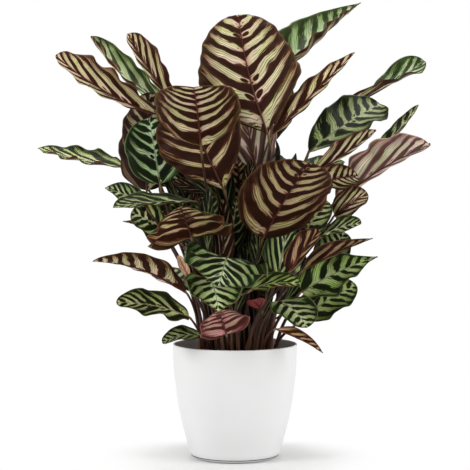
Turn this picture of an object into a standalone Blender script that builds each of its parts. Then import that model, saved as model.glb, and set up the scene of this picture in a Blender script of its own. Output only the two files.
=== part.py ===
"""A calathea in a round tapered pot: the pot, the potting soil and one solid for every leaf with its stalk.

Metres, +Z up. The origin is the centre of the pot's underside, and the front of the plant looks along -Y.
"""

import math
from collections import namedtuple

import bmesh
import bpy
import numpy as np
from mathutils import Vector

MM = 0.001

# Pot
POT_HEIGHT = 165 * MM
POT_WALL = 3 * MM
POT_FLOOR = 4 * MM
POT_STEPS = 40
# Radius of the pot's outside at a share of its height, from the rim down to where the foot rounds off
POT_SIDE = [(1.0, 90 * MM), (0.75, 88.1 * MM), (0.49, 82.8 * MM), (0.3, 76.5 * MM), (0.085, 67 * MM)]
FOOT_RADIUS = 52 * MM
FOOT_STEPS = 4
LIP_DROP = 1.2 * MM
FLOOR_FILLET = 7.5 * MM
WELD = 0.01 * MM

# Soil
SOIL_TOP = 143 * MM
TOUCH_GAP = 0.3 * MM
HOLE_DEPTH = 30 * MM
HOLE_RADIUS = 3.6 * MM
HOLE_SIDES = 6

# Roots of the stalks in the soil
ROOT_CIRCLE = 60 * MM
ROOT_SPACING = 12 * MM
ROOT_ROUNDS = 120
ROOT_PUSH = 0.25
LEAN_AT_EDGE = 0.75
LEAN_FROM = 60 * MM

# Stalks
STALK_SIDES = 5
STALK_STEPS = 5
STALK_FOOT_RADIUS = 2.6 * MM
STALK_TOP_RADIUS = 1.5 * MM
STALK_RISE = 0.5
STALK_RUN_IN = 0.2
# How steeply a stalk meets its blade, and the leaves where it stands up more
RUN_IN_LIFT = 0.5
STEEP = {"leaf_oval_right": 1.5, "leaf_reach_right": 3.0}
STALK_END_GAP = 2 * MM
ROOT_DEPTH = HOLE_DEPTH - 1 * MM

# Blades
BLADE_THICK = 0.8 * MM
RIB_DEPTH = 1.4 * MM
BASE_HALF_WIDTH = 2.4 * MM
# How the outline bends and closes beyond the belly, for tips from cut off to drawn out
TIP_KINDS = (-2, -1, 0, 1, 2)
TIP_BENDS = (1.4, 4.0, 2.5, 1.4, 1.0)
TIP_POWERS = (0.33, 0.35, 0.58, 1.1, 1.6)
TIP_HALF_WIDTHS = (16 * MM, 1 * MM, 1 * MM, 1 * MM, 1 * MM)
# The same below the belly, for a round base and for one shaped like a wedge
BASE_BENDS = (2.0, 1.43)
BASE_POWERS = (0.5, 1.0)
WAVE_LENGTH = 40 * MM
# Height of the waves along the blade's edge, as a share of its half width
WAVE_HEIGHT = 0.09
# How much stronger or weaker the waves of some leaves are
WAVINESS = {
    "leaf_crown": 0.3, "leaf_round_left": 0.4, "leaf_round_right": 0.4, "leaf_under_left": 0.5,
    "leaf_wavy_left": 2.2, "leaf_spear_left": 1.8, "leaf_fan_low": 1.8, "leaf_fan_mid": 1.6,
    "leaf_low_left": 1.5, "leaf_high_right": 1.6, "leaf_reach_right": 1.5, "leaf_pale_right": 1.4,
    "leaf_green_right": 1.4,
}
WAVE_SLANT = 1.0
WAVE_STEP = 2.4
STATION_LENGTH = 14 * MM
STATIONS = (6, 11)
END_CROWDING = 0.5
ACROSS = [-1.0, -0.5, 0.0, 0.5, 1.0]
CREASE_DEGREES = 50

# Colours
POT_WHITE = (0.86, 0.86, 0.87, 1)
SOIL_BROWN = (0.035, 0.022, 0.016, 1)
LEAF_GREEN = (0.10, 0.22, 0.05, 1)
LEAF_PURPLE = (0.16, 0.035, 0.045, 1)

# One row for each leaf, in millimetres and degrees. base and tip are the two ends of the blade's midrib, and
# face is the way that its green upper side looks. arch lifts the middle of the midrib towards that side.
# curl raises both halves of the blade about the midrib, and twist turns the blade along its length.
# belly is the share of its length where the blade is widest. sharp is -2 for a tip that is cut off, -1 for
# a square one, 0 for a blunt one, 1 for a long one and 2 for one that is drawn out. wedge runs from 0 for a
# round base to 1 for a wedge. sway bows the midrib sideways, to the left with the tip up and the under side
# in front.
FIELDS = "name base tip face width arch curl twist belly sharp wedge sway"
Leaf = namedtuple("Leaf", FIELDS, defaults=(0.46, 0, 0, 0))
LEAVES = [
    Leaf("leaf_crown", (46, -50, 468), (5, -25, 636), (0, 1, 0), 151, -10, 24, 0, 0.44, -2, 1, 6),
    Leaf("leaf_round_left", (-47, -100, 451), (-54, -225, 527), (0, 0.6, 0.8), 118, 8, 22, 0, 0.42, -0.3),
    Leaf("leaf_under_left", (-16, -72, 390), (-73, -75, 515), (0.1, 1, 0.1), 125, -6, 20, 0, 0.6, 0, 0.7),
    Leaf("leaf_round_right", (39, -100, 323), (99, -195, 428), (0, 0.6, 0.8), 124, 6, 20, 0),
    Leaf("leaf_fan_low", (-109, 0, 495), (-251, -60, 577), (0.35, 0.8, 0.5), 66, -14, 85, 0, 0.6, 0, 0.6),
    Leaf("leaf_fan_mid", (-97, 58, 507), (-217, 120, 614), (0.4, -0.6, 0.65), 54, -11, 80, 50, 0.6, -0.3, 0.4),
    Leaf("leaf_fan_high", (-80, -25, 503), (-146, -110, 604), (0.4, 0.85, 0.3), 50, -6, 85, 0, 0.66, 0, 0.8),
    Leaf("leaf_spear_left", (-163, 62, 419), (-297, 120, 447), (0, -0.3, 1), 60, -2, 35, 0, 0.4, 0.3, 0.5),
    Leaf("leaf_dark_left", (-128, 18, 386), (-124, 26, 528), (0.1, 1, 0), 86, -6, 20, 0, 0.34),
    Leaf("leaf_green_left", (-106, -45, 397), (-122, -22, 490), (0, -1, 0.3), 84, 6, 20, 0),
    Leaf("leaf_small_left", (-125, -60, 364), (-180, -92, 392), (0, -0.7, 0.7), 46, 4, 25, 0, 0.4, 0.6),
    Leaf("leaf_long_left", (-56, -60, 372), (-167, -120, 366), (0, -0.35, 0.95), 52, 4, 30, 0, 0.6, 0.3, 0.6),
    Leaf("leaf_rolled_left", (-101, 3, 318), (-161, -10, 342), (0, -0.3, 0.95), 36, 4, 85, 0, 0.3, 1),
    Leaf("leaf_inner_left", (-81, -15, 317), (-148, -28, 356), (0, -0.7, 0.7), 70, 4, 25, 0),
    Leaf("leaf_front_left", (-60, -110, 326), (-72, -222, 371), (-0.2, 0.3, 0.9), 122, 4, -40, 0, 0.3, 0.2),
    Leaf("leaf_wavy_left", (-70, -30, 241), (-197, -95, 290), (0.3, 0.6, 0.75), 54, 13, 70, -20, 0.4, 0.2, 0.6),
    Leaf("leaf_low_left", (-65, -60, 209), (-165, -95, 233), (0, -0.6, 0.8), 56, 8, 25, 0),
    Leaf("leaf_front_high", (-12, -110, 296), (-22, -215, 265), (0.3, -0.05, 1), 120, 8, 20, 0),
    Leaf("leaf_front_mid", (-36, -98, 268), (-22, -185, 230), (0.1, -0.45, 0.9), 84, 8, 22, 0, 0.4, 0.3),
    Leaf("leaf_front_right", (8, -120, 246), (88, -170, 265), (0, -0.5, 0.87), 46, 8, 30, 0),
    Leaf("leaf_pink", (-12, -102, 190), (-22, -155, 228), (-0.3, 0.5, 0.85), 76, 4, -35, 0),
    Leaf("leaf_red_bud", (37, -80, 221), (24, -112, 238), (0, 0.7, 0.7), 26, 2, 30, 0),
    Leaf("leaf_rim_left", (-46, -68, 183), (-102, -80, 175), (0, -0.35, 0.94), 44, 6, 25, 0),
    Leaf("leaf_low_right", (62, -105, 236), (98, -160, 205), (0.2, -0.65, 0.7), 64, 6, 25, 0),
    Leaf("leaf_rim_right", (59, -82, 194), (122, -100, 163), (0.4, 0.55, 0.7), 27, 4, 70, 0, 0.35, 0.6, 0.5),
    Leaf("leaf_green_right", (93, -86, 247), (199, -82, 296), (-0.2, -0.7, 0.7), 86, 6, 25, 0, 0.32, 1.3),
    Leaf("leaf_back_right", (97, -50, 207), (172, -45, 253), (-0.1, -0.75, 0.65), 62, 6, 25, 0),
    Leaf("leaf_brown_right", (74, -142, 279), (116, -138, 335), (-0.4, 0.8, 0.4), 44, 4, 80, 0),
    Leaf("leaf_tail_right", (96, -96, 279), (190, -110, 323), (-0.2, 0.5, 0.85), 48, 4, 50, 0, 0.35, 1, 0.5),
    Leaf("leaf_pale_right", (146, -10, 369), (270, -90, 451), (-0.3, 0.7, 0.78), 84, 10, 90, 0, 0.5, 0, 0.3),
    Leaf("leaf_striped_right", (122, -52, 399), (171, -84, 409), (0, 0.8, 0.5), 46, 3, 20, 0),
    Leaf("leaf_oval_right", (106, -30, 442), (211, 25, 511), (-0.25, -0.65, 0.7), 88, 6, 25, 0, 0.65, -0.3, 0.4),
    Leaf("leaf_narrow_right", (104, -92, 411), (194, -110, 472), (-0.3, 0.7, 0.6), 42, -3, 85, 0, 0.46, 0.3, 1),
    Leaf("leaf_reach_right", (127, 34, 494), (281, 92, 577), (-0.5, 0.1, 0.85), 56, -7, 50, 130, 0.76, 0, 1),
    Leaf("leaf_top_right", (72, 15, 562), (188, 110, 664), (-0.5, -0.6, 0.5), 100, 5, 80, 0, 0.24, 1),
    Leaf("leaf_high_right", (54, -16, 466), (170, -24, 583), (-0.5, 0.8, 0.35), 44, 2, 75, 0, 0.32, 0.5, 0.8),
    Leaf("leaf_tip_right", (201, 45, 434), (276, 120, 512), (-0.3, -0.5, 0.8), 27, -4, 75, 0, 0.4, 0.2, 0.8),
    Leaf("leaf_mid_right", (141, -45, 352), (187, -58, 383), (0, -0.7, 0.7), 50, 4, 25, 0),
    Leaf("leaf_side_right", (120, -68, 323), (175, -96, 343), (0, -0.5, 0.85), 46, 4, 25, 0),
    Leaf("leaf_inner_right", (125, -35, 274), (157, -25, 327), (-0.2, -0.85, 0.5), 55, 4, 25, 0),
    Leaf("leaf_core_right", (61, -80, 273), (73, -74, 335), (0, -1, 0.15), 56, 4, 20, 0),
    Leaf("leaf_core_pale", (31, 15, 415), (9, 30, 522), (0, 1, 0), 80, -4, 25, 0),
    Leaf("leaf_core_dark", (8, -8, 372), (4, -18, 428), (0, 1, 0.1), 40, 2, 25, 0),
    Leaf("leaf_core_left", (-67, 33, 319), (-85, 28, 388), (0, -1, 0.1), 60, 4, 20, 0),
    Leaf("leaf_core_green", (-34, -25, 306), (-41, -25, 380), (0, -1, 0.1), 60, 4, 20, 0),
    Leaf("leaf_core_front", (-6, -38, 304), (2, -30, 373), (0, -1, 0.3), 40, 4, 20, 0),
    Leaf("leaf_rear_low_left", (-62, 88, 232), (-122, 165, 258), (0.2, -0.2, 0.95), 84, 10, 25, 0),
    Leaf("leaf_rear_low", (5, 95, 240), (0, 215, 262), (0, -0.2, 1), 90, 12, 22, 0),
    Leaf("leaf_rear_low_right", (78, 80, 236), (160, 150, 268), (-0.2, -0.2, 0.95), 85, 10, 25, 0),
    Leaf("leaf_rear_side_left", (-66, 72, 300), (-118, 150, 345), (0.3, -0.5, 0.8), 80, 8, 25, 0),
    Leaf("leaf_rear_core", (-5, 100, 305), (-12, 185, 352), (0, -0.5, 0.85), 88, 8, 22, 0),
    Leaf("leaf_rear_side_right", (76, 66, 292), (148, 130, 330), (-0.3, -0.4, 0.85), 80, 8, 25, 0),
    Leaf("leaf_rear_mid_left", (-62, 75, 376), (-125, 150, 452), (0.3, -0.5, 0.8), 96, 8, 22, 0),
    Leaf("leaf_rear_mid", (10, 85, 385), (20, 185, 455), (0, -0.7, 0.7), 110, 8, 20, 0),
    Leaf("leaf_rear_mid_right", (80, 65, 362), (155, 130, 430), (-0.3, -0.5, 0.8), 92, 8, 22, 0),
    Leaf("leaf_rear_high_left", (-30, 70, 430), (-66, 155, 505), (0.2, -0.6, 0.7), 84, 8, 22, 0),
    Leaf("leaf_rear_top", (-5, 60, 470), (-10, 118, 577), (0, -0.9, 0.3), 80, 6, 22, 0),
    Leaf("leaf_rear_top_right", (48, 62, 455), (58, 135, 560), (-0.1, -0.8, 0.4), 74, 6, 22, 0),
]


def clear_scene():
    for old in list(bpy.data.objects):
        bpy.data.objects.remove(old, do_unlink=True)


def new_collection(name):
    collection = bpy.data.collections.new(name)
    bpy.context.scene.collection.children.link(collection)
    return collection


def plain_material(name, colour, roughness):
    material = bpy.data.materials.new(name)
    material.use_nodes = True
    shader = material.node_tree.nodes["Principled BSDF"]
    shader.inputs["Base Color"].default_value = colour
    shader.inputs["Roughness"].default_value = roughness
    return material


def add_object(name, mesh, collection, material=None):
    obj = bpy.data.objects.new(name, mesh)
    collection.objects.link(obj)
    if material:
        mesh.materials.append(material)
    return obj


def unit(vector):
    return vector / np.linalg.norm(vector)


def shade(mesh):
    mesh.shade_smooth()
    mesh.set_sharp_from_angle(angle=math.radians(CREASE_DEGREES))


def turned(name, profile, steps, collection, material):
    """A (radius, height) profile turned about Z into a solid. It starts and ends on the axis."""
    mesh = bpy.data.meshes.new(name)
    points = [(radius, 0, height) for radius, height in profile]
    mesh.from_pydata(points, [(i, i + 1) for i in range(len(points) - 1)], [])
    obj = add_object(name, mesh, collection, material)
    screw = obj.modifiers.new("turn", "SCREW")
    screw.steps = steps
    screw.render_steps = steps
    screw.use_merge_vertices = True
    screw.merge_threshold = WELD
    return obj


def side_radius(height):
    """Outer radius of the pot's side at a height."""
    shares, radii = zip(*reversed(POT_SIDE))
    return float(np.interp(height / POT_HEIGHT, shares, radii))


def build_pot(collection, material):
    foot_share, foot_radius = POT_SIDE[-1]
    turns = [math.pi / 2 * (1 - (step + 1) / FOOT_STEPS) for step in range(FOOT_STEPS)]
    spread, rise = foot_radius - FOOT_RADIUS, foot_share * POT_HEIGHT
    foot = [(FOOT_RADIUS + spread * math.sin(turn), rise * (1 - math.cos(turn))) for turn in turns]
    rim = POT_SIDE[0][1]
    shoulder = POT_HEIGHT - LIP_DROP
    lip = [(rim - POT_WALL, shoulder), (rim - POT_WALL / 2, POT_HEIGHT), (rim, shoulder)]
    side = [(radius, share * POT_HEIGHT) for share, radius in POT_SIDE[1:]]
    inside = [(radius - POT_WALL, height) for radius, height in reversed(side)]
    floor = [(0, POT_FLOOR), (inside[0][0] - FLOOR_FILLET, POT_FLOOR)]
    turned("pot", floor + inside + lip + side + foot + [(0, 0)], POT_STEPS, collection, material)


def build_soil(roots, collection, cutters, material):
    heights = [SOIL_TOP] + [share * POT_HEIGHT for share, _ in POT_SIDE[1:]]
    wall = [(side_radius(height) - POT_WALL - TOUCH_GAP, height) for height in heights]
    bottom = POT_FLOOR + TOUCH_GAP
    foot = (wall[-1][0] - FLOOR_FILLET, bottom)
    soil = turned("soil", [(0, SOIL_TOP)] + wall + [foot, (0, bottom)], POT_STEPS, collection, material)
    holes = bmesh.new()
    size = {"segments": HOLE_SIDES, "radius1": HOLE_RADIUS, "radius2": HOLE_RADIUS, "depth": 2 * HOLE_DEPTH}
    for x, y in roots:
        made = bmesh.ops.create_cone(holes, cap_ends=True, **size)
        bmesh.ops.translate(holes, verts=made["verts"], vec=Vector((x, y, SOIL_TOP)))
    mesh = bpy.data.meshes.new("stalk_holes")
    holes.to_mesh(mesh)
    holes.free()
    cutter = add_object("stalk_holes", mesh, cutters)
    cutter.hide_render = True
    cutter.display_type = "WIRE"
    cut = soil.modifiers.new("stalk holes", "BOOLEAN")
    cut.operation = "DIFFERENCE"
    cut.object = cutter


def root_places():
    """Where each stalk leaves the soil: nearer the edge for a leaf that leans out, and kept apart."""
    bases = np.array([leaf.base for leaf in LEAVES], float) * MM
    reach = np.linalg.norm(bases[:, :2], axis=1)
    lean = np.clip(reach / (bases[:, 2] - SOIL_TOP + LEAN_FROM) / LEAN_AT_EDGE, 0, 1)
    places = bases[:, :2] / reach[:, None] * (ROOT_CIRCLE * np.sqrt(lean))[:, None]
    for _ in range(ROOT_ROUNDS):
        apart = places[:, None, :] - places[None, :, :]
        distance = np.linalg.norm(apart, axis=2) + np.eye(len(places))
        push = np.clip(ROOT_SPACING - distance, 0, None) * (1 - np.eye(len(places)))
        places = places + ROOT_PUSH * (apart / distance[:, :, None] * push[:, :, None]).sum(axis=1)
        radius = np.linalg.norm(places, axis=1)
        places = places * np.minimum(1, ROOT_CIRCLE / np.maximum(radius, 1e-9))[:, None]
    return places


def bezier(points, t):
    """Place and direction at t on a cubic curve with four control points."""
    a, b, c, d = points
    place = (1 - t) ** 3 * a + 3 * (1 - t) ** 2 * t * b + 3 * (1 - t) * t * t * c + t**3 * d
    slope = 3 * (1 - t) ** 2 * (b - a) + 6 * (1 - t) * t * (c - b) + 3 * t * t * (d - c)
    return place, unit(slope)


def midrib(leaf):
    base, tip = np.array(leaf.base, float) * MM, np.array(leaf.tip, float) * MM
    chord = tip - base
    face = np.array(leaf.face, float)
    face = unit(face - unit(chord) * (face @ unit(chord)))
    lift = (face * leaf.arch + np.cross(unit(chord), face) * leaf.sway) * MM * 4 / 3
    return [base, base + chord / 3 + lift, base + 2 * chord / 3 + lift, tip], face


def half_width(leaf, s):
    """Half the blade's width at a share s of its length, with a base and a tip of the leaf's own kind."""
    if s < leaf.belly:
        bend, power = (np.interp(leaf.wedge, (0, 1), values) for values in (BASE_BENDS, BASE_POWERS))
        shape = (1 - ((leaf.belly - s) / leaf.belly) ** bend) ** power
    else:
        bend, power = (np.interp(leaf.sharp, TIP_KINDS, values) for values in (TIP_BENDS, TIP_POWERS))
        shape = (1 - ((s - leaf.belly) / (1 - leaf.belly)) ** bend) ** power
    ends = BASE_HALF_WIDTH * (1 - s) + float(np.interp(leaf.sharp, TIP_KINDS, TIP_HALF_WIDTHS)) * s
    return max(ends, shape * leaf.width / 2 * MM)


def blade_stations(length):
    """Shares of the length where the blade has a section, closer together near its two ends."""
    count = int(np.clip(round(length / STATION_LENGTH), *STATIONS))
    even = np.linspace(0, 1, count + 1)
    crowded = (1 - np.cos(math.pi * even)) / 2
    return even * (1 - END_CROWDING) + crowded * END_CROWDING


def turned_about(vector, axis, angle):
    along = axis * (axis @ vector)
    return along + (vector - along) * math.cos(angle) + np.cross(axis, vector) * math.sin(angle)


def blade_ring(leaf, phase, s):
    """The blade's section at s: a row of points on the upper side, then the row under them back again."""
    controls, face = midrib(leaf)
    place, ahead = bezier(controls, s)
    chord = controls[3] - controls[0]
    face = turned_about(face, unit(chord), math.radians(leaf.twist) * (s - 0.5))
    side = unit(np.cross(ahead, face))
    up = np.cross(side, ahead)
    width = half_width(leaf, s)
    curl = math.radians(leaf.curl)
    waves = np.linalg.norm(chord) / WAVE_LENGTH
    wave_height = WAVE_HEIGHT * WAVINESS.get(leaf.name, 1) * width
    upper, lower = [], []
    for v in ACROSS:
        bend = curl * abs(v)
        out = width * math.sin(bend) / curl * np.sign(v)
        rise = width * (1 - math.cos(bend)) / curl
        normal = up * math.cos(bend) - side * np.sign(v) * math.sin(bend)
        wave = wave_height * v * v * math.sin(2 * math.pi * waves * s + phase + WAVE_SLANT * v)
        point = place + side * out + up * rise + normal * wave
        upper.append(point)
        lower.append(point - normal * (BLADE_THICK + RIB_DEPTH * (1 - s) * (v == 0)))
    return upper + lower[::-1], side, ahead


def stalk_rings(leaf, root, side, ahead):
    """The stalk's round sections, from its end in the soil up to the blade."""
    base = np.array(leaf.base, float) * MM
    foot = np.array([root[0], root[1], SOIL_TOP])
    reach = np.linalg.norm(base - foot)
    up = np.array([0, 0, 1.0])
    run_in = unit(ahead + STEEP.get(leaf.name, RUN_IN_LIFT) * up)
    rise, turn = up * STALK_RISE * reach, run_in * STALK_RUN_IN * reach
    controls = [foot, foot + rise, base - turn, base - ahead * STALK_END_GAP]
    stations = [(foot - up * ROOT_DEPTH, up, STALK_FOOT_RADIUS)]
    for step in range(STALK_STEPS + 1):
        t = step / STALK_STEPS
        place, slope = bezier(controls, t)
        stations.append((place, slope, STALK_FOOT_RADIUS * (1 - t) + STALK_TOP_RADIUS * t))
    rings = []
    for place, slope, radius in stations:
        across = unit(side - slope * (side @ slope))
        over = np.cross(across, slope)
        angles = [math.pi - 2 * math.pi * i / STALK_SIDES for i in range(STALK_SIDES)]
        rings.append([place + radius * (math.cos(a) * across + math.sin(a) * over) for a in angles])
    return rings


def build_leaf(leaf, number, root, collection, material):
    """One leaf as a loft: a round stalk that flattens into the blade, split alike above and below."""
    length = np.linalg.norm(np.subtract(leaf.tip, leaf.base)) * MM
    blade = [blade_ring(leaf, WAVE_STEP * number, s) for s in blade_stations(length)]
    rings = stalk_rings(leaf, root, blade[0][1], blade[0][2]) + [ring for ring, _, _ in blade]
    stalks = len(rings) - len(blade)
    bm = bmesh.new()
    made = [[bm.verts.new(point) for point in ring] for ring in rings]

    def face(*corners):
        bm.faces.new(corners)

    face(*made[0])
    for low, high in zip(made[: stalks - 1], made[1:stalks]):
        for i in range(STALK_SIDES):
            j = (i + 1) % STALK_SIDES
            face(low[i], low[j], high[j], high[i])
    low, high = made[stalks - 1], made[stalks]
    for i in range(STALK_SIDES):
        j = (i + 1) % STALK_SIDES
        face(low[i], high[2 * i + 1], high[2 * i])
        face(low[i], low[j], high[2 * i + 1])
        face(low[j], high[(2 * i + 2) % len(high)], high[2 * i + 1])
    count = len(ACROSS)
    for low, high in zip(made[stalks:-1], made[stalks + 1 :]):
        for i in range(count - 1):
            a, b = (i, i + 1) if i >= count // 2 else (i + 1, i)
            for near, far in ((a, b), (2 * count - 1 - a, 2 * count - 1 - b)):
                face(low[near], low[far], high[far])
                face(low[near], high[far], high[near])
        for i, j in ((count - 1, count), (2 * count - 1, 0)):
            face(low[i], low[j], high[j])
            face(low[i], high[j], high[i])
    tip = made[-1]
    for i in range(count - 1):
        face(tip[i], tip[i + 1], tip[2 * count - 2 - i], tip[2 * count - 1 - i])
    bmesh.ops.triangulate(bm, faces=[f for f in bm.faces if len(f.verts) > 3])
    bmesh.ops.recalc_face_normals(bm, faces=bm.faces)
    mesh = bpy.data.meshes.new(leaf.name)
    bm.to_mesh(mesh)
    bm.free()
    shade(mesh)
    add_object(leaf.name, mesh, collection, material)


def main():
    clear_scene()
    parts = new_collection("potted_calathea")
    cutters = new_collection("cutters")
    white = plain_material("pot_white", POT_WHITE, 0.35)
    brown = plain_material("soil", SOIL_BROWN, 0.95)
    green = plain_material("leaf_upper", LEAF_GREEN, 0.45)
    purple = plain_material("leaf_under", LEAF_PURPLE, 0.5)
    build_pot(parts, white)
    roots = root_places()
    build_soil(roots, parts, cutters, brown)
    for number, (leaf, root) in enumerate(zip(LEAVES, roots)):
        build_leaf(leaf, number, root, parts, green if leaf.face[1] < 0 else purple)


main()
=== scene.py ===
import math
from collections import namedtuple

import bpy
import numpy as np
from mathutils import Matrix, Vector
from mathutils.bvhtree import BVHTree


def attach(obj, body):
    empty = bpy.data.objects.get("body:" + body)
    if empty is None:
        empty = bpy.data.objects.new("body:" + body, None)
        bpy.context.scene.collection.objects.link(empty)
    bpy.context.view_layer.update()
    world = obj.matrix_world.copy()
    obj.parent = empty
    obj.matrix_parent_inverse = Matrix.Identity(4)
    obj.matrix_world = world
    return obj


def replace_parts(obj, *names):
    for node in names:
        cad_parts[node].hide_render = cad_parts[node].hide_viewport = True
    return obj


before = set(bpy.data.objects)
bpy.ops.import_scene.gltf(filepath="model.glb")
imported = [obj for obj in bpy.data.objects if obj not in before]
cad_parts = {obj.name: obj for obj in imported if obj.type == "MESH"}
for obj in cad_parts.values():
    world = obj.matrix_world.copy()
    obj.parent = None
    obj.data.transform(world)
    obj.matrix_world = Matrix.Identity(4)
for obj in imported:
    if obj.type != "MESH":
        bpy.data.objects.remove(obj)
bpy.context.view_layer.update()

mm = 0.001
scene = bpy.context.scene
print("frame loaded:", len(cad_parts), "nodes")


# Shader trees: small steps that the materials below are put together from

def putNode(tree, kind, inputs=None, **settings):
    node = tree.nodes.new("ShaderNode" + kind)
    for name, value in settings.items():
        setattr(node, name, value)
    for key, value in (inputs or {}).items():
        feed(tree, value, node.inputs[key])
    return node


def feed(tree, value, socket):  # links another node's output, and sets a plain value
    if isinstance(value, bpy.types.NodeSocket):
        tree.links.new(value, socket)
    else:
        socket.default_value = value


def calc(tree, operation, *values):
    return putNode(tree, "Math", dict(enumerate(values)), operation=operation).outputs[0]


def plus(tree, first, second):
    return calc(tree, "ADD", first, second)


def minus(tree, first, second):
    return calc(tree, "SUBTRACT", first, second)


def times(tree, first, second):
    return calc(tree, "MULTIPLY", first, second)


def timesPlus(tree, value, factor, offset):
    return calc(tree, "MULTIPLY_ADD", value, factor, offset)


def smooth(tree, value, low, high):  # 0 below low, 1 above high, soft between
    inputs = {"Value": value, "From Min": low, "From Max": high}
    return putNode(tree, "MapRange", inputs, interpolation_type="SMOOTHSTEP").outputs["Result"]


def blend(tree, share, first, second, way="MIX"):
    inputs = {0: share, 6: first, 7: second}
    return putNode(tree, "Mix", inputs, data_type="RGBA", blend_type=way).outputs[2]


def ramp(tree, share, stops):  # stops are (place, grey) or (place, (r, g, b))
    node = putNode(tree, "ValToRGB", {"Fac": share})
    bar = node.color_ramp
    while len(bar.elements) < len(stops):
        bar.elements.new(0.5)
    for element, (place, colour) in zip(bar.elements, stops):
        element.position = place
        element.color = (*colour, 1) if isinstance(colour, tuple) else (colour, colour, colour, 1)
    return node.outputs["Color"]


def joinXyz(tree, x, y, z=0.0):
    return putNode(tree, "CombineXYZ", {"X": x, "Y": y, "Z": z}).outputs[0]


def readMap(tree, name):  # both values of a UV map
    place = putNode(tree, "UVMap", uv_map=name).outputs[0]
    return putNode(tree, "SeparateXYZ", {0: place}).outputs


def noise(tree, vector, scale, detail=2.0, roughness=0.5):
    inputs = {"Vector": vector, "Scale": scale, "Detail": detail, "Roughness": roughness}
    return putNode(tree, "TexNoise", inputs).outputs["Fac"]


def veinNoise(tree, phase, across, own, stretch, *kind):  # noise drawn out along the veins
    return noise(tree, joinXyz(tree, times(tree, phase, stretch), across, own), *kind)


def shaded(tree, colour, shade):  # a colour made darker or lighter by a grey
    return blend(tree, 1.0, colour, joinXyz(tree, shade, shade, shade), "MULTIPLY")


def newGroup(name, inputs, outputs):
    group = bpy.data.node_groups.new(name, "ShaderNodeTree")
    for way, labels in (("INPUT", inputs), ("OUTPUT", outputs)):
        for label in labels:
            group.interface.new_socket(label, in_out=way, socket_type="NodeSocketFloat")
    given = group.nodes.new("NodeGroupInput").outputs
    return group, given, group.nodes.new("NodeGroupOutput").inputs


def putGroup(tree, group, inputs):
    node = tree.nodes.new("ShaderNodeGroup")
    node.node_tree = group
    for key, value in inputs.items():
        tree.links.new(value, node.inputs[key])
    return node.outputs


def newMaterial(name):
    material = bpy.data.materials.new(name)
    material.use_nodes = True
    return material, material.node_tree, material.node_tree.nodes["Principled BSDF"].inputs


def dress(tree, shader, colour, rough, gloss, bump):  # bump is what it follows, its strength and its depth
    feed(tree, colour, shader["Base Color"])
    feed(tree, rough, shader["Roughness"])
    feed(tree, gloss, shader["Specular IOR Level"])
    relief = putNode(tree, "Bump", dict(zip(("Height", "Strength", "Distance"), bump)))
    feed(tree, relief.outputs[0], shader["Normal"])


# Markings of a leaf. Phase counts the stripes along the midrib, Across runs from the midrib (0) to the edge
# (1 or -1), Along from the stalk (0) to the tip (1), and Distance is the way from the midrib in metres.
# A side's two lists give how much of each stripe its dark bar takes from the midrib to the edge, one list for
# each half. A noise is given as how often it changes from vein to vein, its scale, detail and roughness.

stripes = {
    "under": ([(0.0, 0.85), (0.03, 0.52), (0.1, 0.46), (0.3, 0.5), (0.55, 0.55), (0.74, 0.64), (0.87, 0.84),
               (0.97, 1.0)],
              [(0.0, 0.9), (0.04, 0.72), (0.15, 0.64), (0.32, 0.53), (0.55, 0.47), (0.74, 0.56), (0.87, 0.8),
               (0.97, 1.0)]),
    "upper": ([(0.0, 0.22), (0.04, 0.4), (0.14, 0.62), (0.36, 0.66), (0.6, 0.5), (0.75, 0.52), (0.88, 0.86),
               (0.98, 1.05)],
              [(0.0, 0.25), (0.05, 0.5), (0.15, 0.64), (0.35, 0.6), (0.56, 0.46), (0.72, 0.5), (0.86, 0.84),
               (0.98, 1.05)]),
    "softness": 0.06,
    "leafStep": 3.7,  # from one leaf's noises to the next leaf's
    "wander": 0.95,
    "wanderNoise": (0.5, 1.3, 1.1),  # how often it changes along and across the leaf, and its scale
    "unevenness": 0.65,
    "unevenScale": 3.1,
    "feather": 2.5,
    "featherNoise": (11.0, 1.4, 3.0, 0.6),
    "fingers": 0.6,
    "fingerNoise": (5.0, 1.7),
    "ovalPlace": 0.115,
    "ovalLength": (-0.10, 0.12),  # an oval that draws less than nothing isn't there
    "ovalLeast": 0.002,
    "ovalWidth": 0.46,
    "ovalStep": 11.0,
    "ovalEdge": (0.7, 1.1),
    "ovalHeart": (0.4, 0.9),
    "veinsPerStripe": 7.0,
    "lineWidth": (-1.1, 0.95),
    "lineSoftness": 0.35,
    "edgeBand": {"upper": (0.76, 0.92), "under": (0.88, 1.0)},
    "hem": (0.955, 0.98),
    "heart": (0.5, 0.95),
    "ribWidth": 0.9 * mm,
    "ribTaper": 1.15,
    "ribSoftness": (1.5, 0.3 * mm),
}


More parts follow.
